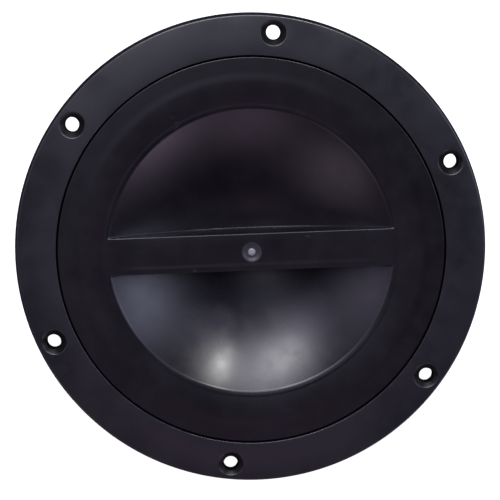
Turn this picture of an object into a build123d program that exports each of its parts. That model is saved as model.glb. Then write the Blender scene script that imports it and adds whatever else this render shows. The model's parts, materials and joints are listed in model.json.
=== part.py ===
"""Round screw-in deck hatch: a flanged mounting ring, a screw-out lid with a grip bar moulded across a finger
bowl, the lid's O-ring and the gasket under the flange.

Millimetres, +Z up out of the deck. The origin is the centre of the cut-out, on the deck's surface. The lid's grip
bar lies along X when the lid is screwed down.
"""
from build123d import *
import os
from math import sqrt

# Mounting ring
FLANGE_DIAMETER = 165.0
DRAFT_WALL = 1.0            # how far the flange's outer wall leans in over its height
FLANGE_TOP = 6.3            # highest circle of the crowned flange, above the deck
CROWN_DIAMETER = 138.6      # of that circle
CROWN_RADIUS = 75.0         # of the arc that the flange's top follows from there, inward and outward
EDGE_ROUND = 0.8
CLEAR_OPENING = 125.0       # through the crests of the ring's thread
SHOULDER_DIAMETER = 139.6   # fits the cut-out
SHOULDER_DEPTH = 4.0
SHOULDER_TAPER = 1.6        # depth over which the shoulder narrows to the spigot
SPIGOT_DIAMETER = 136.4
SPIGOT_DEPTH = 19.5
SCREW_CIRCLE = 152.0
SCREW_COUNT = 6
SCREW_HOLE = 5.0
COUNTERSINK = 9.0           # 90 degree cone
COUNTERSINK_OVERRUN = 0.6   # how far the cutting cone runs on above the flange
SCREW_PHASE = 22.4          # angle of the first screw from the grip bar of the seated lid, degrees
POCKET_DIAMETER = 135.6     # recess that takes the lid's rim
POCKET_FLOOR = -0.4

# Deck gasket
GASKET_THICKNESS = 1.0
GASKET_INNER_DIAMETER = 142.0
GASKET_OUTER_DIAMETER = 163.4

# Thread, right-handed, single start
PITCH = 5.0
THREAD_DEPTH = 2.1
THREAD_RADIAL_GAP = 0.4
CREST_HALF_WIDTH = 0.8
ROOT_HALF_WIDTH = 1.5
THREAD_EMBED = 0.4
RING_THREAD_START = -11.6   # height of the middle of the ridge where it starts
RING_THREAD_TURNS = 1.75
LID_THREAD_START = -10.9
LID_THREAD_ANGLE = -130.0   # where the lid's ridge starts, from the grip bar, degrees
LID_THREAD_TURNS = 1.7

# Lid
LID_DIAMETER = 134.4
LID_TOP = 5.9               # of the rim
LID_RIM_UNDERSIDE = 2.6
LID_EDGE_ROUND = 0.35
STEP_DIAMETER = 122.0       # faint step on the lid's face
STEP_HALF_WIDTH = 0.8
STEP_RISE = 0.1             # of the face inside the step, above the rim
INNER_HEIGHT = 5.4          # top of the grip bar and of the bowl's rim
BOWL_DIAMETER = 100.0
BOWL_DEPTH = 17.0
BOWL_LIP = 1.5              # flat edge around the bowl's mouth
WALL = 3.0
NECK_DIAMETER = 127.0       # under the rim, inside the O-ring
NECK_BOTTOM = 0.2
SKIRT_TOP = -0.9
SKIRT_BOTTOM = -12.6
BAR_WIDTH = 13.0
BAR_DRAFT = 1.0             # degrees on each side of the bar
BOWL_FILLET = 0.5           # where the bar's sides run into the bowl
MOUTH_ROUND = 0.5
CORE_WIDTH = 7.0            # slot that hollows the bar from beneath
CORE_RIB_OFFSETS = (-34.0, -17.0, 17.0, 34.0)
CORE_RIB_SHARE = 0.45       # height of the ribs in that slot, as a share of the slot's
RIB_THICKNESS = 1.8
GUSSET_COUNT = 8
GUSSET_TOE = 3.0            # width of a gusset's lower end
GUSSET_FOOT = 4.6           # gap between a gusset's lower end and the skirt's
GUSSET_LAP = 4.0            # how far a gusset runs in under the bowl
GATE_DIMPLE_DIAMETER = 6.6
GATE_DIMPLE_DEPTH = 0.5
GATE_NUB_DIAMETER = 2.2
GATE_NUB_HEIGHT = 0.3

# O-ring, squeezed between the lid's rim and the pocket's floor
SEAL_MEAN_DIAMETER = 130.7
SEAL_WIDTH = 3.0
SEAL_HEIGHT = 2.6

# Rounds shared by both mouldings
FINE_ROUND = 0.2
SMALL_ROUND = 0.6
END_ROUND = 0.8
ROOT_ROUND = 1.5

REACH = 200.0               # size of cutting bodies that only have to be larger than the part
OVERLAP = 0.5               # how far a body is sunk into the one it joins
CUTTER_RISE = 3.0           # how far the bowl's cutter stands above the lid's face
NEAR = 0.1                  # slack when edges are picked by their place

RING_GROOVE_RADIUS = CLEAR_OPENING / 2 + THREAD_DEPTH
LID_ROOT_RADIUS = CLEAR_OPENING / 2 - THREAD_RADIAL_GAP
BOWL_RADIUS = BOWL_DIAMETER / 2
SPHERE_RADIUS = (BOWL_RADIUS**2 + BOWL_DEPTH**2) / (2 * BOWL_DEPTH)
SPHERE_CENTRE = INNER_HEIGHT - BOWL_DEPTH + SPHERE_RADIUS
LID_UNDER = INNER_HEIGHT - WALL


def revolved(face, rounds=()):
    """A solid of revolution about Z from a face in the XZ plane; rounds lists ((radius, height), size)."""
    for (x, z), size in rounds:
        corner = face.vertices().sort_by_distance(Vector(x, 0, z))[0]
        face = fillet(corner, size)
    return revolve(face, Axis.Z)


def outline(points):
    """The face inside a closed run of straight lines through (radius, height) points."""
    return make_face(Plane.XZ * Polyline(*points, close=True))


def around(count, phase=0.0):
    """Angles of a regular pattern, in degrees."""
    return [phase + 360.0 * i / count for i in range(count)]


def thread_ridge(base_radius, crest_radius, start_height, start_angle, turns):
    """A helical ridge that stands from base_radius to crest_radius, sunk a little into the wall behind it."""
    outward = 1 if crest_radius > base_radius else -1
    slope = (ROOT_HALF_WIDTH - CREST_HALF_WIDTH) / THREAD_DEPTH
    sunk_radius = base_radius - outward * THREAD_EMBED
    sunk_half_width = ROOT_HALF_WIDTH + slope * THREAD_EMBED
    corners = [
        (sunk_radius, -sunk_half_width),
        (crest_radius, -CREST_HALF_WIDTH),
        (crest_radius, CREST_HALF_WIDTH),
        (sunk_radius, sunk_half_width),
    ]
    path = Helix(pitch=PITCH, height=PITCH * turns, radius=base_radius)
    ridge = sweep(outline(corners), path=path, is_frenet=True)
    return Pos(0, 0, start_height) * Rot(0, 0, start_angle) * ridge


def flange_height(radius):
    """Height of the crowned flange at a radius."""
    return FLANGE_TOP - CROWN_RADIUS + sqrt(CROWN_RADIUS**2 - (radius - CROWN_DIAMETER / 2) ** 2)


def screw_cutter():
    """A screw hole and its countersink, on the +X axis."""
    sink_depth = (COUNTERSINK - SCREW_HOLE) / 2
    height = sink_depth + COUNTERSINK_OVERRUN
    top = flange_height(SCREW_CIRCLE / 2) + COUNTERSINK_OVERRUN
    cone = Cone(SCREW_HOLE / 2, SCREW_HOLE / 2 + height, height)
    hole = Cylinder(SCREW_HOLE / 2, REACH)
    return Pos(SCREW_CIRCLE / 2, 0, 0) * (hole + Pos(0, 0, top - height / 2) * cone)


def make_mounting_ring():
    outer = FLANGE_DIAMETER / 2
    pocket = POCKET_DIAMETER / 2
    shoulder = SHOULDER_DIAMETER / 2
    spigot = SPIGOT_DIAMETER / 2
    crown = CROWN_DIAMETER / 2
    outer_edge = (outer - DRAFT_WALL, flange_height(outer - DRAFT_WALL))
    inner_edge = (pocket, flange_height(pocket))
    pocket_corner = (pocket, POCKET_FLOOR)
    groove_top = (RING_GROOVE_RADIUS, POCKET_FLOOR)
    groove_bottom = (RING_GROOVE_RADIUS, -SPIGOT_DEPTH)
    spigot_bottom = (spigot, -SPIGOT_DEPTH)
    spigot_top = (spigot, -SHOULDER_DEPTH - SHOULDER_TAPER)
    top = ThreePointArc(outer_edge, (crown, FLANGE_TOP), inner_edge)
    rest = Polyline(
        inner_edge,
        pocket_corner,
        groove_top,
        groove_bottom,
        spigot_bottom,
        spigot_top,
        (shoulder, -SHOULDER_DEPTH),
        (shoulder, GASKET_THICKNESS),
        (outer, GASKET_THICKNESS),
        outer_edge,
    )
    rounds = [
        (outer_edge, EDGE_ROUND),
        (inner_edge, FINE_ROUND),
        (pocket_corner, SMALL_ROUND),
        (groove_top, FINE_ROUND),
        (groove_bottom, SMALL_ROUND),
        (spigot_bottom, END_ROUND),
        (spigot_top, ROOT_ROUND),
    ]
    ring = revolved(make_face(Plane.XZ * (top + rest)), rounds)
    ring += thread_ridge(
        RING_GROOVE_RADIUS, CLEAR_OPENING / 2, RING_THREAD_START, 0.0, RING_THREAD_TURNS
    )
    for angle in around(SCREW_COUNT, SCREW_PHASE):
        ring -= Rot(0, 0, angle) * screw_cutter()
    return ring


def make_deck_gasket():
    inner, outer = GASKET_INNER_DIAMETER / 2, GASKET_OUTER_DIAMETER / 2
    gasket = revolved(
        outline([(inner, 0), (outer, 0), (outer, GASKET_THICKNESS), (inner, GASKET_THICKNESS)])
    )
    for angle in around(SCREW_COUNT, SCREW_PHASE):
        gasket -= Rot(0, 0, angle) * screw_cutter()
    return gasket


def make_lid_seal():
    section = Plane.XZ * Pos(SEAL_MEAN_DIAMETER / 2, (LID_RIM_UNDERSIDE + POCKET_FLOOR) / 2)
    return revolve(section * Ellipse(SEAL_WIDTH / 2, SEAL_HEIGHT / 2), Axis.Z)


def bowl_pocket():
    """The finger space on the +Y side of the grip bar: half of the bowl, with its foot rounded."""
    ball = Pos(0, 0, SPHERE_CENTRE) * Sphere(SPHERE_RADIUS)
    far_side = Pos(0, REACH / 2, 0) * Box(REACH, REACH, REACH)
    bar_side = Pos(0, BAR_WIDTH / 2, INNER_HEIGHT) * Rot(-BAR_DRAFT, 0, 0) * far_side
    below_rise = Pos(0, 0, INNER_HEIGHT + CUTTER_RISE - REACH / 2) * Box(REACH, REACH, REACH)
    pocket = ball & bar_side & below_rise
    foot = pocket.edges().sort_by(Axis.Z)[0]
    return fillet(foot, BOWL_FILLET)


def bar_core():
    """The slot that hollows the grip bar from beneath, with its cross ribs left standing."""
    depth = BOWL_DEPTH + WALL
    length = 2 * sqrt((SPHERE_RADIUS + WALL) ** 2 - (SPHERE_CENTRE - LID_UNDER) ** 2)
    slot = Pos(0, 0, LID_UNDER - depth / 2) * Box(length, CORE_WIDTH, depth)
    slot = fillet(slot.edges().filter_by(Axis.X).group_by(Axis.Z)[-1], END_ROUND)
    rib_height = CORE_RIB_SHARE * depth
    for x in CORE_RIB_OFFSETS:
        rib = Box(RIB_THICKNESS, CORE_WIDTH + 2 * OVERLAP, rib_height)
        slot -= Pos(x, 0, LID_UNDER - rib_height / 2) * rib
    return slot


def gusset():
    """A triangular rib under the lid's face, between the bowl and the skirt, on the +X side."""
    top = LID_UNDER + OVERLAP
    skirt = LID_ROOT_RADIUS - WALL / 2
    foot = SKIRT_BOTTOM + GUSSET_FOOT
    corners = [
        (BOWL_RADIUS + OVERLAP, top),
        (skirt, top),
        (skirt, foot),
        (skirt - GUSSET_TOE, foot),
        (BOWL_RADIUS - GUSSET_LAP, top - GUSSET_LAP),
    ]
    return extrude(outline(corners), RIB_THICKNESS / 2, both=True)


def lid_body():
    """The lid's face, rim and skirt."""
    rim = LID_DIAMETER / 2
    neck = NECK_DIAMETER / 2
    step = STEP_DIAMETER / 2
    skirt_inner = LID_ROOT_RADIUS - WALL
    points = [
        (0, INNER_HEIGHT),
        (0, LID_UNDER),
        (skirt_inner, LID_UNDER),
        (skirt_inner, SKIRT_BOTTOM),
        (LID_ROOT_RADIUS, SKIRT_BOTTOM),
        (LID_ROOT_RADIUS, SKIRT_TOP),
        (neck, NECK_BOTTOM),
        (neck, LID_RIM_UNDERSIDE),
        (rim, LID_RIM_UNDERSIDE),
        (rim, LID_TOP),
        (step + STEP_HALF_WIDTH, LID_TOP),
        (step - STEP_HALF_WIDTH, LID_TOP + STEP_RISE),
        (BOWL_RADIUS + BOWL_LIP, INNER_HEIGHT),
    ]
    rounds = [
        ((skirt_inner, LID_UNDER), ROOT_ROUND),
        ((skirt_inner, SKIRT_BOTTOM), SMALL_ROUND),
        ((LID_ROOT_RADIUS, SKIRT_BOTTOM), END_ROUND),
        ((rim, LID_TOP), LID_EDGE_ROUND),
    ]
    return revolved(outline(points), rounds)


def is_mouth_edge(edge):
    """Whether an edge lies in the plane of the bowl's mouth and inside the bowl's rim."""
    box = edge.bounding_box()
    level = max(abs(box.min.Z - INNER_HEIGHT), abs(box.max.Z - INNER_HEIGHT)) < NEAR
    return level and max(box.max.X, -box.min.X) < BOWL_RADIUS + NEAR


def gate_dimple():
    """The round hollow in the middle of the bar where the moulding was fed."""
    radius = (GATE_DIMPLE_DIAMETER**2 / 4 + GATE_DIMPLE_DEPTH**2) / (2 * GATE_DIMPLE_DEPTH)
    return Pos(0, 0, INNER_HEIGHT - GATE_DIMPLE_DEPTH + radius) * Sphere(radius)


def gate_nub():
    """The stub that the gate left in the middle of that hollow."""
    height = GATE_NUB_HEIGHT + OVERLAP
    middle = INNER_HEIGHT - GATE_DIMPLE_DEPTH + GATE_NUB_HEIGHT - height / 2
    nub = Pos(0, 0, middle) * Cylinder(GATE_NUB_DIAMETER / 2, height)
    return fillet(nub.edges().group_by(Axis.Z)[-1], FINE_ROUND)


def make_lid():
    dome = Pos(0, 0, SPHERE_CENTRE) * Sphere(SPHERE_RADIUS + WALL)
    below_face = Pos(0, 0, LID_UNDER + OVERLAP - REACH / 2) * Box(REACH, REACH, REACH)
    lid = lid_body() + (dome & below_face)
    lid -= bar_core()
    for angle in around(GUSSET_COUNT, 180.0 / GUSSET_COUNT):
        lid += Rot(0, 0, angle) * gusset()
    pocket = bowl_pocket()
    for angle in around(2):
        lid -= Rot(0, 0, angle) * pocket
    lid = fillet(lid.edges().filter_by(is_mouth_edge), MOUTH_ROUND)
    lid -= gate_dimple()
    lid += gate_nub()
    lid += thread_ridge(
        LID_ROOT_RADIUS,
        LID_ROOT_RADIUS + THREAD_DEPTH,
        LID_THREAD_START,
        LID_THREAD_ANGLE,
        LID_THREAD_TURNS,
    )
    return lid


if __name__ == "__main__":
    os.makedirs("parts", exist_ok=True)
    nodes = {
        "mounting_ring": make_mounting_ring(),
        "deck_gasket": make_deck_gasket(),
        "lid_seal": make_lid_seal(),
        "lid": make_lid(),
    }
    for name, solid in nodes.items():
        export_step(solid, f"parts/{name}.step")
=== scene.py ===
import json
from math import cos, pi, radians, sin, sqrt, tan

import bmesh
import bpy
import numpy as np
from mathutils import Matrix, Vector


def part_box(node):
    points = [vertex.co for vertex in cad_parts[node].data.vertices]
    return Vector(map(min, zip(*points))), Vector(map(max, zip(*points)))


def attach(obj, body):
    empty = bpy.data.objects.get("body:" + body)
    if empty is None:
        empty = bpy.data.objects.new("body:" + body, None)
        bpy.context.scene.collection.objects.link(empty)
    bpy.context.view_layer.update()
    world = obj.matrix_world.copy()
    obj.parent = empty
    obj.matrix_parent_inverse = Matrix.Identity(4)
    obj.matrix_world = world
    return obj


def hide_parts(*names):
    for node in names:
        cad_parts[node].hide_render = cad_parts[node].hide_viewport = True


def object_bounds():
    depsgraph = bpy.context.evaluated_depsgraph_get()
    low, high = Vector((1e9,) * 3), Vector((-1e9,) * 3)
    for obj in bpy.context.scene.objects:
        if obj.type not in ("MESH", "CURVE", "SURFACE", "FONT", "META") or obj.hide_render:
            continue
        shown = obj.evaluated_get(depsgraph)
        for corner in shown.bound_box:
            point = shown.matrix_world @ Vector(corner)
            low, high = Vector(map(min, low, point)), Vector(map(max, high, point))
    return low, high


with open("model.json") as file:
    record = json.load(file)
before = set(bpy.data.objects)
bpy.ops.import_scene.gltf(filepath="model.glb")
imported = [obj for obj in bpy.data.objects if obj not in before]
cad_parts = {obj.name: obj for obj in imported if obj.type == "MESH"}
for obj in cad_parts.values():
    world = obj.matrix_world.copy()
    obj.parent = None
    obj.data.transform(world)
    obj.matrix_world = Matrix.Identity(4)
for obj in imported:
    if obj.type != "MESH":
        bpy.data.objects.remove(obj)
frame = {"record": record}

# Lengths are in millimetres up to the point where a mesh is made; the frame and the camera are in metres.
MM = 0.001
CAD_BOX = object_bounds()
RING_LOW, RING_HIGH = (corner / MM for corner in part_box("mounting_ring"))
LID_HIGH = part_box("lid")[1] / MM
GASKET_LOW, GASKET_HIGH = (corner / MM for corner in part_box("deck_gasket"))
SEAL_LOW, SEAL_HIGH = (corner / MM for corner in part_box("lid_seal"))
MOUNTS = {mount["name"]: mount for mount in frame["record"]["mounts"]}
SCREWS = MOUNTS["screw_circle"]["dims"]

# Mounting ring
FLANGE_RADIUS = RING_HIGH.x
FLANGE_TOP = RING_HIGH.z
SPIGOT_BOTTOM = RING_LOW.z
UNDERSIDE = GASKET_HIGH.z
DRAFT_WALL = 1.0
CROWN_CIRCLE = 69.3         # radius of the flange's highest circle
CROWN_RADIUS = 75.0
CROWN_INNER = 68.6          # where the crown's own points stop, short of the pocket's edge
EDGE_ROUND = 0.8
POCKET_RADIUS = 67.8
POCKET_FLOOR = -0.4
SHOULDER_RADIUS = MOUNTS["cutout_spigot"]["dims"]["r_mm"]
SHOULDER_DEPTH = 4.0
SHOULDER_TAPER = 1.6
SPIGOT_RADIUS = 68.2
GROOVE_RADIUS = 64.6
SCREW_CIRCLE = SCREWS["pcd_mm"] / 2
SCREW_COUNT = SCREWS["count"]
SCREW_RADIUS = SCREWS["hole_r_mm"]
SINK_RADIUS = 4.5
SINK_ROUND_INWARD = 0.14    # the rounded mouth of a countersink, to each side of its edge
SINK_ROUND_OUTWARD = 0.16
SINK_BULGE_INWARD = 0.03    # of that round's middle, off the straight between its ends
SINK_BULGE_UP = 0.035
SCREW_PHASE = radians(22.4)
BAND_INNER, BAND_OUTER = 70.9, 80.6  # the circles between which the screw holes are worked into the grid
UNDER_BAND_INNER = 71.5

# Gasket and O-ring
GASKET_INNER_RADIUS = 71.0
GASKET_ROUND = 0.12
SEAL_HALF_WIDTH = 1.5

# Threads
PITCH = 5.0
THREAD_DEPTH = 2.1
THREAD_EMBED = 0.4
CREST_HALF_WIDTH = 0.8
ROOT_HALF_WIDTH = 1.5
CREST_ROUND = 0.3
RUN_OUT = 3.0               # length over which a thread fades at each end
RUN_OUT_SHARE = 0.35        # of the thread's depth, left at its very end
THREAD_STEPS = 288          # a turn
RING_THREAD_START = -11.6
RING_THREAD_TURNS = 1.75
LID_THREAD_START = -10.9
LID_THREAD_ANGLE = radians(-130.0)
LID_THREAD_TURNS = 1.7

# Lid
LID_RADIUS = LID_HIGH.x
STEP_RISE = 0.1             # of the face inside the step, above the rim
LID_TOP = 5.9
RIM_UNDERSIDE = 2.6
NECK_RADIUS = 63.5
NECK_BOTTOM = 0.2
SKIRT_RADIUS = 62.1
SKIRT_TOP = -0.9
SKIRT_BOTTOM = -12.6
WALL = 3.0
STEP_RADIUS = 61.0
STEP_INWARD = 2.2           # how far the step's slope reaches to each side of its circle
STEP_OUTWARD = 1.4
INNER_HEIGHT = 5.4
BOWL_RADIUS = 50.0
BOWL_DEPTH = 17.0
BOWL_LIP = 1.5
BAR_HALF_WIDTH = 6.5
BAR_DRAFT = tan(radians(1.0))
LID_UNDER = INNER_HEIGHT - WALL
SPHERE_RADIUS = (BOWL_RADIUS**2 + BOWL_DEPTH**2) / (2 * BOWL_DEPTH)
SPHERE_CENTRE = INNER_HEIGHT - BOWL_DEPTH + SPHERE_RADIUS
CORE_HALF_WIDTH = 3.5
CORE_RIBS = (-34.0, -17.0, 17.0, 34.0)
CORE_RIB_HEIGHT = 9.0
RIB_HALF_THICKNESS = 0.9
GUSSET_COUNT = 8
GUSSET_RISE = 4.6           # of the ribs' feet above the skirt's lower end
GUSSET_FOOT = 3.0           # width of a rib's foot along the skirt's underside
GUSSET_BOWL_REACH = 4.0     # how far a rib runs down and in along the bowl
GUSSET_OVERLAP = 0.5        # of a rib into the walls that it joins


# ---------------------------------------------------------------- meshes

WELDS_PER_MM = 1000         # fineness of the grid on which points are welded
WELD_OFFSET = 0.137         # keeps round measures off the borders of that grid
STRAIGHT = 1.56             # half of a corner's angle, in radians, from which it counts as straight
SHARP_CORNER = radians(35)  # edges that turn more than this stay sharp

class Shell:
    """Gathers grids of points and welds them into one closed mesh."""

    def __init__(self):
        self.points = []
        self.faces = []
        self.count = 0

    def grid(self, points, around=False):
        """Quads over an array of points; around joins its last row to its first."""
        rows, columns = points.shape[:2]
        index = self.count + np.arange(rows * columns).reshape(rows, columns)
        if around:
            index = np.vstack([index, index[:1]])
        quads = np.stack([index[:-1, :-1], index[1:, :-1], index[1:, 1:], index[:-1, 1:]], axis=-1)
        self.points.append(points.reshape(-1, 3))
        self.faces.extend(quads.reshape(-1, 4).tolist())
        self.count += rows * columns

    def face(self, points):
        """One flat face."""
        self.points.append(np.array(points, float))
        self.faces.append(list(range(self.count, self.count + len(points))))
        self.count += len(points)

    def mesh(self, name):
        """The gathered faces as a mesh in metres, welded, with their normals outwards."""
        points = np.vstack(self.points)
        key = np.floor(points * WELDS_PER_MM + WELD_OFFSET).astype(np.int64)
        _, first, weld = np.unique(key, axis=0, return_index=True, return_inverse=True)
        weld = weld.reshape(-1)
        faces = []
        for face in self.faces:
            corners = []
            for corner in face:
                corner = int(weld[corner])
                if corner not in corners:
                    corners.append(corner)
            if len(corners) > 2:
                faces.append(corners)
        mesh = bpy.data.meshes.new(name)
        mesh.from_pydata((points[first] * MM).tolist(), [], faces)
        work = bmesh.new()
        work.from_mesh(mesh)
        bmesh.ops.recalc_face_normals(work, faces=work.faces)
        work.to_mesh(mesh)
        work.free()
        return mesh


def rounded(corners, steps=6):
    """A run of (radius, height) points through corners (radius, height, round), each turned into an arc.
    A point a little beyond each end of an arc keeps the straights beside it flat in shading."""
    run = [np.array(corners[0][:2], float)]
    for before, here, after in zip(corners, corners[1:], corners[2:]):
        at = np.array(here[:2], float)
        size = here[2]
        back = np.array(before[:2], float) - at
        ahead = np.array(after[:2], float) - at
        back /= np.linalg.norm(back)
        ahead /= np.linalg.norm(ahead)
        half = np.arccos(np.clip(back @ ahead, -1, 1)) / 2
        if size == 0 or half > STRAIGHT:
            run.append(at)
            continue
        middle = back + ahead
        middle /= np.linalg.norm(middle)
        centre = at + middle * size / sin(half)
        reach = size / tan(half)
        beyond = reach + 0.3 * size + 0.04
        first = at + back * reach - centre
        last = at + ahead * reach - centre
        run.append(at + back * beyond)
        for step in np.linspace(0, 1, steps + 1):
            spoke = first * (1 - step) + last * step
            run.append(centre + spoke * size / np.linalg.norm(spoke))
        run.append(at + ahead * beyond)
    run.append(np.array(corners[-1][:2], float))
    return np.array(run)


def revolve(run, angles):
    """The grid that a run of (radius, height) points makes at each of the angles."""
    run = np.asarray(run, float)
    angles = np.asarray(angles)[:, None]
    radius, height = run[:, 0][None, :], run[:, 1][None, :]
    return np.stack([radius * np.cos(angles), radius * np.sin(angles), height + 0 * angles], axis=-1)


def make_object(name, mesh):
    """A mesh as an object in the scene."""
    piece = bpy.data.objects.new(name, mesh)
    bpy.context.scene.collection.objects.link(piece)
    return piece


def combine(piece, tool_mesh, operation):
    """Boolean of the piece with a closed mesh, applied."""
    tool = make_object(piece.name + "_tool", tool_mesh)
    modifier = piece.modifiers.new("combine", "BOOLEAN")
    modifier.operation = operation
    modifier.solver = "MANIFOLD"
    modifier.object = tool
    bpy.context.view_layer.update()
    result = bpy.data.meshes.new_from_object(piece.evaluated_get(bpy.context.evaluated_depsgraph_get()))
    piece.modifiers.clear()
    old, piece.data = piece.data, result
    bpy.data.meshes.remove(old)
    bpy.data.objects.remove(tool)
    bpy.data.meshes.remove(tool_mesh)


def shade(piece):
    """Smooth shading with the real corners kept sharp."""
    work = bmesh.new()
    work.from_mesh(piece.data)
    for face in work.faces:
        face.smooth = True
    for edge in work.edges:
        if len(edge.link_faces) == 2 and edge.calc_face_angle(0) > SHARP_CORNER:
            edge.smooth = False
    work.to_mesh(piece.data)
    work.free()


def install(piece, node, body):
    """Lets a finished piece stand for its CAD node."""
    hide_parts(node)
    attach(piece, body)
    return piece


# ---------------------------------------------------------------- mounting ring and gasket

HOLE_STEPS = 96             # grid steps from one screw hole to the next
PATCH_STEPS = 12            # of them on each side of a hole that belong to its patch
BAND_ROWS = 16
PATCH_SHARES = (0.04, 0.1, 0.18, 0.3, 0.44, 0.6, 0.8)  # where a patch has rings, from the hole to its border
RING_ANGLES = SCREW_PHASE + 2 * pi * np.arange(SCREW_COUNT * HOLE_STEPS) / (SCREW_COUNT * HOLE_STEPS)


def crown_height(radius):
    """Height of the flange's crowned top."""
    return FLANGE_TOP - CROWN_RADIUS + np.sqrt(CROWN_RADIUS**2 - (radius - CROWN_CIRCLE) ** 2)


def holed_band(shell, inner, height, rows_in_hole):
    """The band of the flange that holds the screw holes.

    height(radius) is its surface. rows_in_hole(centre, direction) gives the hole's own rows of (distance,
    height), from the bottom up to the surface.
    """
    radii = np.linspace(inner, BAND_OUTER, BAND_ROWS + 1)
    run = np.column_stack([radii, height(radii)])
    for hole in range(SCREW_COUNT):
        first = hole * HOLE_STEPS
        between = np.arange(first + PATCH_STEPS, first + HOLE_STEPS - PATCH_STEPS + 1)
        shell.grid(revolve(run, RING_ANGLES[between % len(RING_ANGLES)]))
        near = RING_ANGLES[np.arange(first - PATCH_STEPS, first + PATCH_STEPS + 1) % len(RING_ANGLES)]
        border = [(radii[0], angle) for angle in near[:-1]]
        border += [(radius, near[-1]) for radius in radii[:-1]]
        border += [(radii[-1], angle) for angle in near[:0:-1]]
        border += [(radius, near[0]) for radius in radii[:0:-1]]
        border = np.array([(radius * cos(angle), radius * sin(angle)) for radius, angle in border])
        centre = SCREW_CIRCLE * np.array([cos(RING_ANGLES[first]), sin(RING_ANGLES[first])])
        away = border - centre
        distance = np.linalg.norm(away, axis=1)
        direction = away / distance[:, None]
        rows = rows_in_hole(centre, direction)
        edge = rows[-1][0]
        for share in PATCH_SHARES:
            rows.append((edge + (distance - edge) * share, None))
        rows.append((distance, None))
        columns = []
        for reach, level in rows:
            place = centre + direction * np.asarray(reach).reshape(-1, 1)
            if level is None:
                level = height(np.linalg.norm(place, axis=1))
            columns.append(np.column_stack([place, np.broadcast_to(level, len(place))]))
        shell.grid(np.stack(columns, axis=1), around=True)


def countersunk(centre, direction):
    """Rows of a countersunk hole up to the crowned flange, its edges a little rounded."""
    cone_foot = crown_height(SCREW_CIRCLE) - (SINK_RADIUS - SCREW_RADIUS)
    edge = np.full(len(direction), SINK_RADIUS)
    for _ in range(12):
        surface = crown_height(np.linalg.norm(centre + direction * edge[:, None], axis=1))
        edge = SCREW_RADIUS + surface - cone_foot
    inner = edge - SINK_ROUND_INWARD
    outer = edge + SINK_ROUND_OUTWARD
    outer_surface = crown_height(np.linalg.norm(centre + direction * outer[:, None], axis=1))
    middle = (inner + outer) / 2 - SINK_BULGE_INWARD
    middle_surface = (cone_foot + inner - SCREW_RADIUS + outer_surface) / 2 + SINK_BULGE_UP
    return [
        (np.full(len(edge), SCREW_RADIUS), UNDERSIDE),
        (np.full(len(edge), SCREW_RADIUS), cone_foot - 0.2),
        (np.full(len(edge), SCREW_RADIUS + 0.05), cone_foot - 0.02),
        (np.full(len(edge), SCREW_RADIUS + 0.2), cone_foot + 0.2),
        (inner - 0.3, cone_foot + inner - 0.3 - SCREW_RADIUS),
        (inner, cone_foot + inner - SCREW_RADIUS),
        (middle, middle_surface),
        (outer, outer_surface),
    ]


def plain_hole(level):
    """Rows of a hole that simply ends at one level."""
    def rows(centre, direction):
        return [(np.full(len(direction), SCREW_RADIUS), level)]
    return rows


def ridge(base, crest, start_height, start_angle, turns):
    """A closed helical thread ridge with rounded crest edges and short run-outs."""
    outward = 1 if crest > base else -1
    slope = (ROOT_HALF_WIDTH - CREST_HALF_WIDTH) / THREAD_DEPTH
    sunk = ROOT_HALF_WIDTH + slope * THREAD_EMBED
    half = rounded([
        (-THREAD_EMBED, sunk, 0),
        (THREAD_DEPTH, CREST_HALF_WIDTH, CREST_ROUND),
        (THREAD_DEPTH, -CREST_HALF_WIDTH, CREST_ROUND),
        (-THREAD_EMBED, -sunk, 0),
    ], steps=4)
    steps = int(turns * THREAD_STEPS)
    shell = Shell()
    grid = []
    for turn in np.linspace(0, turns, steps + 1):
        end = min(turn, turns - turn) * 2 * pi * base
        lift = RUN_OUT_SHARE + (1 - RUN_OUT_SHARE) * min(1.0, end / RUN_OUT) ** 0.5
        angle = start_angle + turn * 2 * pi
        rise = np.where(half[:, 0] > 0, half[:, 0] * lift, half[:, 0])
        radius = base + outward * rise
        grid.append(np.column_stack([
            radius * cos(angle), radius * sin(angle), start_height + turn * PITCH + half[:, 1]
        ]))
    grid = np.array(grid)
    shell.grid(np.concatenate([grid, grid[:, :1]], axis=1))
    shell.face(grid[0])
    shell.face(grid[-1])
    return shell


def flange_edge():
    """The outer wall and its round, from the underside to the crowned top."""
    wall_low = np.array([FLANGE_RADIUS, UNDERSIDE])
    wall_high = np.array([FLANGE_RADIUS - DRAFT_WALL, crown_height(FLANGE_RADIUS - DRAFT_WALL)])
    along = (wall_high - wall_low) / np.linalg.norm(wall_high - wall_low)
    inward = np.array([-along[1], along[0]])
    crown_centre = np.array([CROWN_CIRCLE, FLANGE_TOP - CROWN_RADIUS])
    start = wall_low + inward * EDGE_ROUND - crown_centre
    span = CROWN_RADIUS - EDGE_ROUND
    travel = -(start @ along) + sqrt((start @ along) ** 2 - start @ start + span**2)
    centre = wall_low + inward * EDGE_ROUND + along * travel
    on_wall = centre - inward * EDGE_ROUND
    on_crown = crown_centre + (centre - crown_centre) * CROWN_RADIUS / span
    run = rounded([(BAND_OUTER, UNDERSIDE, 0), (*wall_low, 0.12), (*on_wall, 0)], 3)[:-1].tolist()
    run += [(on_wall - along * 1.2).tolist(), (on_wall - along * 0.25).tolist()]
    first, last = on_wall - centre, on_crown - centre
    for step in np.linspace(0, 1, 11):
        spoke = first * (1 - step) + last * step
        run.append((centre + spoke * EDGE_ROUND / np.linalg.norm(spoke)).tolist())
    if on_crown[0] - 0.1 > BAND_OUTER:
        run.append([on_crown[0] - 0.1, float(crown_height(on_crown[0] - 0.1))])
    run.append([BAND_OUTER, float(crown_height(BAND_OUTER))])
    return run


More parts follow.
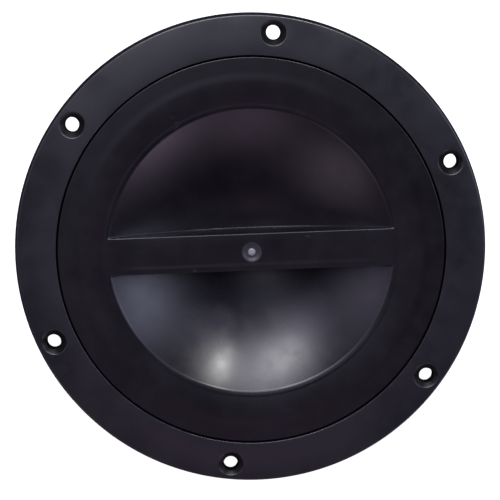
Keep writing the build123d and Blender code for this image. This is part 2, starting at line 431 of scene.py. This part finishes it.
def make_ring():
    shell = Shell()
    closed = np.append(RING_ANGLES, RING_ANGLES[0])
    shell.grid(revolve(flange_edge(), closed))
    crown = [(radius, float(crown_height(radius)), 0) for radius in np.linspace(BAND_INNER, CROWN_INNER, 7)]
    run = rounded(crown + [
        (POCKET_RADIUS, float(crown_height(POCKET_RADIUS)), 0.22),
        (POCKET_RADIUS, POCKET_FLOOR, 0.6),
        (GROOVE_RADIUS, POCKET_FLOOR, 0.2),
        (GROOVE_RADIUS, SPIGOT_BOTTOM, 0.6),
        (SPIGOT_RADIUS, SPIGOT_BOTTOM, 0.8),
        (SPIGOT_RADIUS, -SHOULDER_DEPTH - SHOULDER_TAPER, 1.5),
        (SHOULDER_RADIUS, -SHOULDER_DEPTH, 0.15),
        (SHOULDER_RADIUS, UNDERSIDE, 0.1),
        (UNDER_BAND_INNER, UNDERSIDE, 0),
    ])
    shell.grid(revolve(run, closed))
    holed_band(shell, BAND_INNER, crown_height, countersunk)
    holed_band(shell, UNDER_BAND_INNER, lambda radius: 0 * radius + UNDERSIDE, plain_hole(UNDERSIDE))
    piece = make_object("mounting_ring_moulding", shell.mesh("mounting_ring_moulding"))
    thread = ridge(GROOVE_RADIUS, GROOVE_RADIUS - THREAD_DEPTH, RING_THREAD_START, 0.0, RING_THREAD_TURNS)
    combine(piece, thread.mesh("ring_thread"), "UNION")
    shade(piece)
    return install(piece, "mounting_ring", "mounting_ring")


def make_gasket():
    shell = Shell()
    closed = np.append(RING_ANGLES, RING_ANGLES[0])
    low, high = GASKET_LOW.z, GASKET_HIGH.z
    outer, inner = GASKET_HIGH.x, GASKET_INNER_RADIUS
    shell.grid(revolve(rounded([
        (BAND_OUTER, low, 0),
        (outer, low, GASKET_ROUND),
        (outer, high, GASKET_ROUND),
        (BAND_OUTER, high, 0),
    ], 3), closed))
    shell.grid(revolve(rounded([
        (UNDER_BAND_INNER, high, 0),
        (inner, high, GASKET_ROUND),
        (inner, low, GASKET_ROUND),
        (UNDER_BAND_INNER, low, 0),
    ], 3), closed))

    def through(centre, direction):
        reach = np.full(len(direction), SCREW_RADIUS)
        return [(reach, low), (reach, (low + high) / 2), (reach, high)]

    holed_band(shell, UNDER_BAND_INNER, lambda radius: 0 * radius + high, through)
    holed_band(shell, UNDER_BAND_INNER, lambda radius: 0 * radius + low, plain_hole(low))
    piece = make_object("deck_gasket_sheet", shell.mesh("deck_gasket_sheet"))
    shade(piece)
    return install(piece, "deck_gasket", "mounting_ring")


def make_seal():
    shell = Shell()
    turns = np.linspace(0, 2 * pi, 433)
    around = np.linspace(0, 2 * pi, 37)
    centre = (SEAL_LOW.z + SEAL_HIGH.z) / 2
    half_height = (SEAL_HIGH.z - SEAL_LOW.z) / 2
    mean = SEAL_HIGH.x - SEAL_HALF_WIDTH
    run = np.column_stack([mean + SEAL_HALF_WIDTH * np.cos(around), centre + half_height * np.sin(around)])
    shell.grid(revolve(run, turns))
    piece = make_object("lid_seal_ring", shell.mesh("lid_seal_ring"))
    shade(piece)
    return install(piece, "lid_seal", "lid_seal")


# ---------------------------------------------------------------- lid

PATCH_RADIUS = 56.0         # circle inside which the bowl and the bar are meshed along rays
RAY_CENTRE = 25.0           # each half's rays start here on the Y axis
RAY_SAMPLES = 120           # points along a ray
NEAR_BAR = 12.0             # angle from the bar, in degrees, within which the rays are closest together
NEAR_AXIS = 3.0             # distance from the axis within which the bar's points are closest together
PATH_SAMPLES = 600          # points along the bowl's floor, and along the top, from which a ray picks its own
BAR_FALL = 0.09             # how far the bar's top falls to its +Y edge
BAR_LIP = 0.08              # height of the faint lip along its -Y edge
FALL_START = 3.0            # distances from the bar's middle line
LIP_START = 3.4
LIP_CREST = 5.0
RELIEF_FULL = 38.0          # the fall and the lip fade between these distances along the bar
RELIEF_END = 49.0
RIM_ROUND = 0.6
BAR_ROUND = 0.4
FOOT_ROUND = 0.3
DIMPLE_RADIUS = 3.3
DIMPLE_DEPTH = 0.5
NUB_RADIUS = 1.1
NUB_HEIGHT = 0.3


def smooth(value, low, high):
    """Rises smoothly from 0 at low to 1 at high."""
    share = np.clip((value - low) / (high - low), 0, 1)
    return share * share * (3 - 2 * share)


def face_height(radius):
    """Height of the lid's face: the rim's level, a faint step up and a slow fall to the bowl."""
    step = smooth(radius, STEP_RADIUS - STEP_INWARD, STEP_RADIUS + STEP_OUTWARD)
    slope_end = BOWL_RADIUS + BOWL_LIP
    share = np.clip((radius - slope_end) / (STEP_RADIUS - slope_end), 0, 1)
    inside = INNER_HEIGHT + (LID_TOP + STEP_RISE - INNER_HEIGHT) * share * (2 - share)
    return inside + (LID_TOP - inside) * step


def top_height(x, y):
    """Height of the lid's face and of the bar's top, with the gate mark's dimple and nub."""
    radius = np.hypot(x, y)
    level = face_height(radius)
    dimple = DIMPLE_DEPTH * (1 - smooth(radius, DIMPLE_RADIUS - 1.6, DIMPLE_RADIUS + 0.25))
    nub = NUB_HEIGHT * (1 - smooth(radius, NUB_RADIUS - 0.35, NUB_RADIUS + 0.1))
    return level - dimple + nub


def rounded_min(a, b, size):
    """The smaller of two distances, with the edge where they meet rounded."""
    corner = np.hypot(np.maximum(size - a, 0), np.maximum(size - b, 0))
    return np.maximum(size, np.minimum(a, b)) - corner


def open_space(points):
    """Distance into the open space over the lid's +Y half; the lid's surface is where it is zero."""
    x, y, z = points[..., 0], points[..., 1], points[..., 2]
    sphere = SPHERE_RADIUS - np.sqrt(x * x + y * y + (z - SPHERE_CENTRE) ** 2)
    bar = y - BAR_HALF_WIDTH - (INNER_HEIGHT - z) * BAR_DRAFT
    bowl = rounded_min(sphere, bar, FOOT_ROUND)
    above = z - top_height(x, y)
    edge = BAR_ROUND + (RIM_ROUND - BAR_ROUND) * smooth(bar - sphere, -1.0, 4.0)
    return -rounded_min(-above, -bowl, edge)


def onto_surface(points):
    """Moves points onto the lid's surface along its gradient."""
    tiny = 1e-3
    for _ in range(8):
        value = open_space(points)
        gradient = np.stack([
            (open_space(points + step) - open_space(points - step)) / (2 * tiny)
            for step in np.eye(3) * tiny
        ], axis=-1)
        size = np.maximum((gradient**2).sum(axis=-1), 0.2)
        points = points - gradient * (value / size)[..., None]
    return points


def with_bar_relief(points):
    """Works the bar's faint lip and fall into points of the lid's top."""
    x, y, z = points[..., 0], points[..., 1], points[..., 2]
    lip = BAR_LIP * (smooth(-y, LIP_START, LIP_CREST) - 0.5 * smooth(-y, LIP_CREST, BAR_HALF_WIDTH))
    fall = BAR_FALL * np.clip((y - FALL_START) / (BAR_HALF_WIDTH - FALL_START), 0, 1) ** 1.6
    near_top = smooth(z, INNER_HEIGHT - 1.6, INNER_HEIGHT - 0.5)
    on_bar = (1 - smooth(np.abs(x), RELIEF_FULL, RELIEF_END)) * near_top
    on_bar = on_bar * (np.abs(y) < BAR_HALF_WIDTH + 0.2)
    points = points.copy()
    points[..., 2] += (lip - fall) * on_bar
    return points


def sphere_height(x, y):
    """Height of the bowl's floor."""
    return SPHERE_CENTRE - np.sqrt(np.maximum(SPHERE_RADIUS**2 - x * x - y * y, 0))


def ray(target):
    """Points of the lid's surface from the bowl's floor to a point of the half patch's border."""
    away = np.array(target) - (0, RAY_CENTRE)
    length = np.linalg.norm(away)
    away /= length
    over_bar = (BAR_HALF_WIDTH - RAY_CENTRE) / away[1] if away[1] < 0 else 1e9
    along = RAY_CENTRE * away[1]
    over_mouth = -along + sqrt(along**2 - RAY_CENTRE**2 + BOWL_RADIUS**2)
    edge = min(over_bar, over_mouth)
    foot = edge
    if over_bar < over_mouth:
        for _ in range(20):
            depth = INNER_HEIGHT - sphere_height(away[0] * foot, RAY_CENTRE + away[1] * foot)
            foot = (BAR_HALF_WIDTH + depth * BAR_DRAFT - RAY_CENTRE) / away[1]

    def plan(reach):
        return np.column_stack([away[0] * reach, RAY_CENTRE + away[1] * reach])

    floor_plan = plan(np.linspace(0, foot, PATH_SAMPLES))
    floor = np.column_stack([floor_plan, sphere_height(floor_plan[:, 0], floor_plan[:, 1])])
    top_plan = plan(np.linspace(edge, length, PATH_SAMPLES))
    top = np.column_stack([top_plan, top_height(top_plan[:, 0], top_plan[:, 1])])
    share = np.linspace(0, 1, PATH_SAMPLES // 2)[1:-1, None]
    side = floor[-1] * (1 - share) + top[0] * share
    path = np.vstack([floor, side, top])
    travel = np.concatenate([[0], np.cumsum(np.linalg.norm(np.diff(path, axis=0), axis=1))])
    foot_at, edge_at = travel[len(floor) - 1], travel[len(floor) + len(side)]
    corner = np.minimum(np.abs(travel - foot_at), np.abs(travel - edge_at))
    centre = np.hypot(path[:, 0], path[:, 1])
    # Points a millimetre: many at the bar's foot and at the edge, and over the gate mark
    density = np.maximum(1 / (0.10 + 0.22 * corner), 0.6)
    density = np.maximum(density, 4.0 * (1 - smooth(centre, 3.6, 6.0)))
    total = np.concatenate([[0], np.cumsum((density[1:] + density[:-1]) / 2 * np.diff(travel))])
    wanted = np.interp(np.linspace(0, total[-1], RAY_SAMPLES), total, travel)
    return np.column_stack([np.interp(wanted, travel, path[:, axis]) for axis in range(3)])


def half_angles():
    """Angles of the lid's grid over its +Y half, closer together where the bar meets the bowl's mouth."""
    near = np.arange(0, NEAR_BAR, 0.4)
    middle = np.linspace(NEAR_BAR, 180 - NEAR_BAR, 224)
    return np.radians(np.concatenate([near, middle, 180 - near[::-1]]))


def bar_line():
    """Places along the middle of the bar, close together around the gate mark."""
    reach = [0.0]
    while reach[-1] < PATCH_RADIUS:
        spacing = 0.15 + 0.05 * (reach[-1] - NEAR_AXIS)
        reach.append(reach[-1] + min(max(spacing, 0.15), 0.8))
    reach = np.array(reach) * PATCH_RADIUS / reach[-1]
    return np.concatenate([-reach[:0:-1], reach])


def bowl_and_bar():
    """The lid's face inside the patch circle, over its +Y half."""
    arc = [(PATCH_RADIUS * cos(angle), PATCH_RADIUS * sin(angle)) for angle in half_angles()]
    arc[0], arc[-1] = (PATCH_RADIUS, 0.0), (-PATCH_RADIUS, 0.0)
    line = [(x, 0.0) for x in bar_line()[1:-1]]
    rays = np.array([ray(target) for target in arc + line])
    border = rays[:, -1].copy()
    rays = onto_surface(rays)
    rays[:, -1] = border
    rays[:, 0] = rays[0, 0]
    return rays


def core_comb():
    """The slot under the bar, a comb outline pushed through it from side to side."""
    low = LID_UNDER - BOWL_DEPTH - WALL - 1
    rib_low = LID_UNDER - CORE_RIB_HEIGHT
    end = sqrt((SPHERE_RADIUS + WALL) ** 2 - (SPHERE_CENTRE - LID_UNDER) ** 2)
    outline = [(-end, low), (-end, LID_UNDER)]
    for rib in CORE_RIBS:
        left, right = rib - RIB_HALF_THICKNESS, rib + RIB_HALF_THICKNESS
        outline += [(left, LID_UNDER), (left, rib_low), (right, rib_low), (right, LID_UNDER)]
    outline += [(end, LID_UNDER), (end, low)]
    return prism(outline, CORE_HALF_WIDTH)


def prism(outline, half_thickness, angle=0.0):
    """A closed prism from an (x, z) outline, turned about Z."""
    shell = Shell()
    sides = []
    for y in (-half_thickness, half_thickness):
        sides.append(np.array([
            (x * cos(angle) - y * sin(angle), x * sin(angle) + y * cos(angle), z) for x, z in outline
        ]))
    shell.grid(np.stack(sides, axis=1), around=True)
    shell.face(sides[0])
    shell.face(sides[1])
    return shell


def joined(shells):
    """Several closed shells gathered into one."""
    whole = Shell()
    for shell in shells:
        whole.points += shell.points
        whole.faces += [[corner + whole.count for corner in face] for face in shell.faces]
        whole.count += shell.count
    return whole


def gussets():
    """The ribs between the bowl and the skirt."""
    top = LID_UNDER + GUSSET_OVERLAP
    skirt = SKIRT_RADIUS - WALL / 2
    foot = SKIRT_BOTTOM + GUSSET_RISE
    outline = [
        (BOWL_RADIUS + GUSSET_OVERLAP, top),
        (skirt, top),
        (skirt, foot),
        (skirt - GUSSET_FOOT, foot),
        (BOWL_RADIUS - GUSSET_BOWL_REACH, top - GUSSET_BOWL_REACH),
    ]
    step = 2 * pi / GUSSET_COUNT
    return [prism(outline, RIB_HALF_THICKNESS, step * (i + 0.5)) for i in range(GUSSET_COUNT)]


def lid_profile():
    """The lid from the patch circle out over the rim, down the skirt and back under the bowl."""
    skirt_inner = SKIRT_RADIUS - WALL
    face = [(radius, float(face_height(radius)), 0) for radius in np.linspace(PATCH_RADIUS, 66.4, 30)]
    dome_start = sqrt((SPHERE_RADIUS + WALL) ** 2 - (SPHERE_CENTRE - LID_UNDER) ** 2)
    run = rounded(face + [
        (LID_RADIUS, LID_TOP, 0.35),
        (LID_RADIUS, RIM_UNDERSIDE, 0.15),
        (NECK_RADIUS, RIM_UNDERSIDE, 0.3),
        (NECK_RADIUS, NECK_BOTTOM, 0.1),
        (SKIRT_RADIUS, SKIRT_TOP, 0.2),
        (SKIRT_RADIUS, SKIRT_BOTTOM, 0.8),
        (skirt_inner, SKIRT_BOTTOM, 0.6),
        (skirt_inner, LID_UNDER, 1.5),
        (dome_start, LID_UNDER, 0),
    ]).tolist()
    tilt = np.linspace(np.arcsin(dome_start / (SPHERE_RADIUS + WALL)), 0, 40)[1:]
    dome = np.column_stack([
        (SPHERE_RADIUS + WALL) * np.sin(tilt), SPHERE_CENTRE - (SPHERE_RADIUS + WALL) * np.cos(tilt)
    ])
    return run + dome.tolist()


def make_lid():
    shell = Shell()
    half = bowl_and_bar()
    turned = half * (-1, -1, 1)
    angles = half_angles()
    angles = np.concatenate([angles, angles[1:] + pi])
    for patch in (half, turned):
        shell.grid(with_bar_relief(patch), around=True)
    shell.grid(revolve(lid_profile(), angles))
    piece = make_object("lid_moulding", shell.mesh("lid_moulding"))
    crest = SKIRT_RADIUS + THREAD_DEPTH
    thread = ridge(SKIRT_RADIUS, crest, LID_THREAD_START, LID_THREAD_ANGLE, LID_THREAD_TURNS)
    combine(piece, joined([thread] + gussets()).mesh("lid_extras"), "UNION")
    combine(piece, core_comb().mesh("lid_core"), "DIFFERENCE")
    shade(piece)
    return install(piece, "lid", "lid")


# ---------------------------------------------------------------- camera, floor and lights

FLOOR_HEIGHT = CAD_BOX[0].z - 0.0002  # just under the part
FLOOR_REACH = 6.0
CAMERA_PLACE = Vector((-0.01415, 0.06048, 0.4835))
CAMERA_AIM = Vector((-0.00045, 0.00008, 0.0))
CAMERA_LENS = 99.9
CAMERA_ROLL = radians(2.0)

# Broad soft sources: angle from overhead, bearing from +Y towards +X (degrees), sharpness, colour
SOFT_SOURCES = (
    (10, -22, 80, (0.95, 0.97, 1.25)),
    (22, 180, 70, (0.40, 0.25, 0.40)),
    (40, -30, 45, (2.60, 2.50, 3.50)),
    (40, 30, 45, (0.60, 0.60, 1.10)),
    (54, -2, 36, (6.60, 6.50, 7.60)),
    (56, -75, 30, (1.30, 1.20, 1.70)),
    (56, 75, 26, (2.50, 2.60, 3.60)),
    (58, -138, 30, (1.10, 0.85, 1.15)),
    (70, 180, 32, (0.95, 0.70, 1.00)),
    (82, 144, 24, (2.00, 1.60, 2.20)),
)
# Windows: angle from overhead, bearing, width and height, power
WINDOWS = (
    ("narrow_window", 50, 22, (0.09, 0.36), 3.6),
    ("wide_window", 45, -16, (0.40, 0.30), 2.8),
)
WINDOW_DISTANCE = 1.3
WINDOW_COLOUR = (1.0, 1.0, 0.97)


def sky_direction(zenith, bearing):
    """Unit vector at an angle from overhead and a bearing from +Y towards +X, in degrees."""
    zenith, bearing = radians(zenith), radians(bearing)
    return Vector((sin(zenith) * sin(bearing), sin(zenith) * cos(bearing), cos(zenith)))


def make_camera():
    """The camera, almost straight above and a little towards the far side."""
    data = bpy.data.cameras.new("camera")
    data.lens = CAMERA_LENS
    camera = bpy.data.objects.new("camera", data)
    bpy.context.scene.collection.objects.link(camera)
    back = (CAMERA_PLACE - CAMERA_AIM).normalized()
    up_hint = Matrix.Rotation(-CAMERA_ROLL, 3, "Z") @ Vector((0, 1, 0))
    side = up_hint.cross(back).normalized()
    up = back.cross(side)
    camera.matrix_world = Matrix.Translation(CAMERA_PLACE) @ Matrix((side, up, back)).transposed().to_4x4()
    bpy.context.scene.camera = camera


def area_light(name, place, size, power, colour):
    """A rectangular light that faces the origin."""
    data = bpy.data.lights.new(name, "AREA")
    data.shape = "RECTANGLE"
    data.size, data.size_y = size
    data.energy = power
    data.color = colour
    light = bpy.data.objects.new(name, data)
    bpy.context.scene.collection.objects.link(light)
    light.location = place
    light.rotation_mode = "QUATERNION"
    light.rotation_quaternion = place.to_track_quat("Z", "Y")


def make_floor():
    """A plain pale floor that the plastic doesn't mirror."""
    mesh = bpy.data.meshes.new("floor")
    sides = [(-1, -1), (1, -1), (1, 1), (-1, 1)]
    corners = [(x * FLOOR_REACH, y * FLOOR_REACH, FLOOR_HEIGHT) for x, y in sides]
    mesh.from_pydata(corners, [], [(0, 1, 2, 3)])
    floor = bpy.data.objects.new("floor", mesh)
    bpy.context.scene.collection.objects.link(floor)
    floor.visible_glossy = False
    material = bpy.data.materials.new("floor")
    material.use_nodes = True
    shader = material.node_tree.nodes["Principled BSDF"]
    shader.inputs["Base Color"].default_value = (0.55, 0.55, 0.56, 1)
    shader.inputs["Roughness"].default_value = 0.9
    shader.inputs["Emission Color"].default_value = (1, 1, 1, 1)
    shader.inputs["Emission Strength"].default_value = 0.95
    floor.data.materials.append(material)


def make_sky():
    """A dark room with broad soft sources, brighter and bluer on the far side than on the near one."""
    world = bpy.data.worlds.new("studio")
    world.use_nodes = True
    tree = world.node_tree
    link = tree.links.new
    direction = tree.nodes.new("ShaderNodeTexCoord").outputs["Generated"]
    total = None
    for zenith, bearing, sharpness, colour in SOFT_SOURCES:
        towards = tree.nodes.new("ShaderNodeVectorMath")
        towards.operation = "DOT_PRODUCT"
        link(direction, towards.inputs[0])
        towards.inputs[1].default_value = sky_direction(zenith, bearing)
        fall = tree.nodes.new("ShaderNodeMath")
        fall.operation = "MULTIPLY_ADD"
        link(towards.outputs["Value"], fall.inputs[0])
        fall.inputs[1].default_value = sharpness
        fall.inputs[2].default_value = -sharpness
        glow = tree.nodes.new("ShaderNodeMath")
        glow.operation = "EXPONENT"
        link(fall.outputs[0], glow.inputs[0])
        tinted = tree.nodes.new("ShaderNodeVectorMath")
        tinted.operation = "SCALE"
        tinted.inputs[0].default_value = colour
        link(glow.outputs[0], tinted.inputs["Scale"])
        if total:
            both = tree.nodes.new("ShaderNodeVectorMath")
            link(total, both.inputs[0])
            link(tinted.outputs[0], both.inputs[1])
            total = both.outputs[0]
        else:
            total = tinted.outputs[0]
    link(total, tree.nodes["Background"].inputs["Color"])
    bpy.context.scene.world = world


def make_lights():
    """The soft sources, and the windows that show low in the bowl."""
    make_sky()
    for name, zenith, bearing, size, power in WINDOWS:
        area_light(name, sky_direction(zenith, bearing) * WINDOW_DISTANCE, size, power, WINDOW_COLOUR)


# ---------------------------------------------------------------- materials

# Colours in linear light. Sizes in this part are in metres.
# Convex edge colour: partly rubbed wear, partly a painted highlight
RUBBED_EDGE_AND_HIGHLIGHT = (0.045, 0.045, 0.052)
DUST = (0.10, 0.095, 0.09)
# Painted shade in the countersinks
SINK_PAINTED_SHADE = (0.001, 0.001, 0.001)
# The gate mark: painted light on its dimple, a painted highlight on its nub
GATE_DISC_PAINTED_LIGHT = (0.045, 0.044, 0.052)
GATE_NUB_HIGHLIGHT = (0.34, 0.33, 0.35)
GRAIN_DEPTH = 0.000006


class Nodes:
    """Short calls for building one material's nodes."""

    def __init__(self, name):
        self.material = bpy.data.materials.new(name)
        self.material.use_nodes = True
        self.tree = self.material.node_tree
        self.shader = self.tree.nodes["Principled BSDF"]
        self.place = self.tree.nodes.new("ShaderNodeTexCoord").outputs["Object"]

    def put(self, socket, value):
        if isinstance(value, bpy.types.NodeSocket):
            self.tree.links.new(value, socket)
        else:
            socket.default_value = value

    def math(self, operation, first, second=0.0, clamp=False):
        node = self.tree.nodes.new("ShaderNodeMath")
        node.operation = operation
        node.use_clamp = clamp
        self.put(node.inputs[0], first)
        self.put(node.inputs[1], second)
        return node.outputs[0]

    def ramp(self, value, low, high, to_low=0.0, to_high=1.0):
        """Smoothly maps low..high to to_low..to_high."""
        node = self.tree.nodes.new("ShaderNodeMapRange")
        node.interpolation_type = "SMOOTHSTEP"
        for socket, number in zip(node.inputs, (value, low, high, to_low, to_high)):
            self.put(socket, number)
        return node.outputs[0]

    def noise(self, size, detail=3.0, roughness=0.5):
        """Noise from 0 to 1 whose features are about size metres across."""
        node = self.tree.nodes.new("ShaderNodeTexNoise")
        self.put(node.inputs["Vector"], self.place)
        node.inputs["Scale"].default_value = 1 / size
        node.inputs["Detail"].default_value = detail
        node.inputs["Roughness"].default_value = roughness
        return node.outputs["Fac"]

    def cells(self, size):
        """Distance to the nearest of scattered points, in units of size metres."""
        node = self.tree.nodes.new("ShaderNodeTexVoronoi")
        self.put(node.inputs["Vector"], self.place)
        node.inputs["Scale"].default_value = 1 / size
        return node.outputs["Distance"]

    def mix(self, share, first, second):
        node = self.tree.nodes.new("ShaderNodeMix")
        node.data_type = "RGBA"
        self.put(node.inputs["Factor"], share)
        for socket, colour in ((node.inputs["A"], first), (node.inputs["B"], second)):
            self.put(socket, colour if isinstance(colour, bpy.types.NodeSocket) else (*colour, 1))
        return node.outputs["Result"]

    def bump(self, height, depth, before=None):
        """Bump of height (0 to 1) times depth metres, on top of an earlier one."""
        node = self.tree.nodes.new("ShaderNodeBump")
        node.inputs["Distance"].default_value = depth
        self.put(node.inputs["Height"], height)
        if before:
            self.put(node.inputs["Normal"], before)
        return node.outputs["Normal"]

    def from_axis(self):
        """Distance from the Z axis, in metres."""
        flat = self.tree.nodes.new("ShaderNodeVectorMath")
        flat.operation = "MULTIPLY"
        self.put(flat.inputs[0], self.place)
        flat.inputs[1].default_value = (1, 1, 0)
        length = self.tree.nodes.new("ShaderNodeVectorMath")
        length.operation = "LENGTH"
        self.put(length.inputs[0], flat.outputs[0])
        return length.outputs["Value"]

    def height(self):
        """Height over the deck, in metres."""
        split = self.tree.nodes.new("ShaderNodeSeparateXYZ")
        self.put(split.inputs[0], self.place)
        return split.outputs["Z"]

    def edges(self):
        """Near 1 on convex edges and 0 elsewhere."""
        geometry = self.tree.nodes.new("ShaderNodeNewGeometry")
        return self.ramp(geometry.outputs["Pointiness"], 0.53, 0.63)

    def finish(self, colour, roughness, normal):
        self.put(self.shader.inputs["Base Color"], colour)
        self.put(self.shader.inputs["Roughness"], roughness)
        self.put(self.shader.inputs["Normal"], normal)
        return self.material


def rubbed_and_highlit_edges(nodes, radius, patches):
    """Near 1 on parts of the convex edges of the flange, the rim and the bar, and 0 inside the bowl: where
    the edges are lightened, partly as rubbed wear and partly as a painted highlight.
    """
    high = nodes.ramp(nodes.height(), 0.0042, 0.0050)
    past_bowl = nodes.ramp(radius, 0.051, 0.053)
    worn = nodes.math("MULTIPLY", nodes.edges(), nodes.math("MAXIMUM", high, past_bowl))
    return nodes.math("MULTIPLY", worn, nodes.ramp(patches, 0.35, 0.65, 0.25, 1.0))


def dust_specks(nodes):
    """1 in small scattered specks that gather in places, and 0 elsewhere."""
    specks = nodes.ramp(nodes.cells(0.0042), 0.045, 0.03)
    return nodes.math("MULTIPLY", specks, nodes.ramp(nodes.noise(0.011, 2.0), 0.56, 0.64))


def countersinks(nodes, radius):
    """1 in the countersinks, told by their depth under the flange's crown, and 0 elsewhere."""
    crown = nodes.math("POWER", nodes.math("SUBTRACT", radius, CROWN_CIRCLE * MM), 2.0)
    crown = nodes.math("MULTIPLY", crown, -0.5 / (CROWN_RADIUS * MM))
    depth = nodes.math("SUBTRACT", nodes.math("ADD", crown, FLANGE_TOP * MM), nodes.height())
    within = nodes.math("LESS_THAN", radius, BAND_OUTER * MM)
    beyond = nodes.math("GREATER_THAN", radius, BAND_INNER * MM)
    on_band = nodes.math("MULTIPLY", within, beyond)
    return nodes.math("MULTIPLY", on_band, nodes.ramp(depth, 0.00004, 0.00012))


def moulded_plastic(name, dark, light, roughness, specular, warp, shaded_sinks=False, gate_mark_and_highlight=False):
    """Satin black moulded plastic: fine grain, uneven gloss, edges lightened partly as rubbed wear and partly
    as a painted highlight, and a little dust.

    warp is the depth of its slow waves. One switch gives the countersinks painted shade, a near-black colour,
    and a rougher gloss.
    The other gives the feed point on the axis painted light on its dimple, a painted highlight on its nub and
    a rougher dimple.
    """
    nodes = Nodes(name)
    nodes.shader.inputs["Specular IOR Level"].default_value = specular
    radius = nodes.from_axis()
    clouds = nodes.noise(0.028, 4.0, roughness=0.6)
    patches = nodes.noise(0.007, 3.0)
    specks = dust_specks(nodes)
    colour = nodes.mix(nodes.ramp(clouds, 0.3, 0.7), dark, light)
    # Convex edges lightened, partly as rubbed wear and partly as a painted highlight
    colour = nodes.mix(nodes.math("MULTIPLY", rubbed_and_highlit_edges(nodes, radius, patches), 0.5), colour, RUBBED_EDGE_AND_HIGHLIGHT)
    colour = nodes.mix(nodes.math("MULTIPLY", specks, 0.10), colour, DUST)
    gloss = nodes.ramp(clouds, 0.25, 0.75, roughness - 0.03, roughness + 0.03)
    gloss = nodes.math("ADD", gloss, nodes.ramp(patches, 0.3, 0.7, -0.02, 0.02))
    gloss = nodes.math("ADD", gloss, nodes.math("MULTIPLY", specks, 0.08), clamp=True)
    if shaded_sinks:
        # Countersinks: painted shade, a near-black colour, and a rougher gloss
        sink_shade = countersinks(nodes, radius)
        colour = nodes.mix(sink_shade, colour, SINK_PAINTED_SHADE)
        gloss = nodes.math("ADD", gloss, nodes.math("MULTIPLY", sink_shade, 0.10))
    if gate_mark_and_highlight:
        # The gate mark's dimple gets painted light and a rougher gloss, its nub a painted highlight
        raised = nodes.ramp(nodes.height(), 0.004, 0.0045)
        disc = nodes.math("MULTIPLY", nodes.ramp(radius, 0.0036, 0.0033), raised)
        nub = nodes.math("MULTIPLY", nodes.ramp(radius, 0.0014, 0.0011), raised)
        colour = nodes.mix(nodes.math("MULTIPLY", disc, 0.7), colour, GATE_DISC_PAINTED_LIGHT)
        colour = nodes.mix(nodes.math("MULTIPLY", nub, 0.85), colour, GATE_NUB_HIGHLIGHT)
        gloss = nodes.math("ADD", gloss, nodes.math("MULTIPLY", disc, 0.12))
    waves = nodes.bump(nodes.noise(0.030, 1.0), warp)
    return nodes.finish(colour, gloss, nodes.bump(nodes.noise(0.00035, 2.0), GRAIN_DEPTH, waves))


def smooth_rubber(name):
    """Nitrile rubber: matt, with a dusty bloom in patches and a fine moulding line round its outside."""
    nodes = Nodes(name)
    bloom = nodes.ramp(nodes.noise(0.006, 4.0), 0.35, 0.75)
    colour = nodes.mix(bloom, (0.009, 0.009, 0.009), (0.022, 0.022, 0.023))
    gloss = nodes.ramp(nodes.noise(0.0012, 3.0), 0.3, 0.7, 0.42, 0.58)
    middle = (SEAL_LOW.z + SEAL_HIGH.z) / 2 * MM
    off_middle = nodes.math("ABSOLUTE", nodes.math("SUBTRACT", nodes.height(), middle))
    normal = nodes.bump(nodes.ramp(off_middle, 0.00010, 0.00004), 0.00003)
    normal = nodes.bump(nodes.noise(0.0004, 3.0), 0.00001, normal)
    return nodes.finish(colour, gloss, normal)


def sheet_rubber(name):
    """Closed-cell sheet rubber: small pores darkened with painted shade, a matt face and lighter rubbed
    patches.
    """
    nodes = Nodes(name)
    pores = nodes.ramp(nodes.cells(0.00045), 0.0, 0.45)
    patch = nodes.ramp(nodes.noise(0.009, 4.0), 0.35, 0.7)
    colour = nodes.mix(patch, (0.014, 0.014, 0.015), (0.028, 0.028, 0.029))
    # Pores darkened: painted shade
    pore_shade = nodes.math("SUBTRACT", 0.6, nodes.math("MULTIPLY", pores, 0.6))
    colour = nodes.mix(pore_shade, colour, (0.006, 0.006, 0.006))
    gloss = nodes.ramp(pores, 0.0, 1.0, 0.92, 0.74)
    normal = nodes.bump(pores, 0.00006)
    normal = nodes.bump(nodes.noise(0.0011, 3.0), 0.00005, normal)
    return nodes.finish(colour, gloss, normal)


def dress(piece, material):
    """Gives a piece its one material."""
    piece.data.materials.clear()
    piece.data.materials.append(material)


ring_plastic = moulded_plastic(
    "ring_plastic", dark=(0.0115, 0.0115, 0.0140), light=(0.0165, 0.0165, 0.0195),
    roughness=0.28, specular=0.75, warp=0.00060, shaded_sinks=True
)
lid_plastic = moulded_plastic(
    "lid_plastic", dark=(0.0065, 0.0055, 0.0075), light=(0.0100, 0.0088, 0.0112),
    roughness=0.26, specular=0.5, warp=0.00006, gate_mark_and_highlight=True
)
dress(make_ring(), ring_plastic)
dress(make_gasket(), sheet_rubber("gasket_rubber"))
dress(make_seal(), smooth_rubber("seal_rubber"))
dress(make_lid(), lid_plastic)
make_camera()
make_floor()
make_lights()
bpy.context.scene.view_settings.view_transform = "Standard"
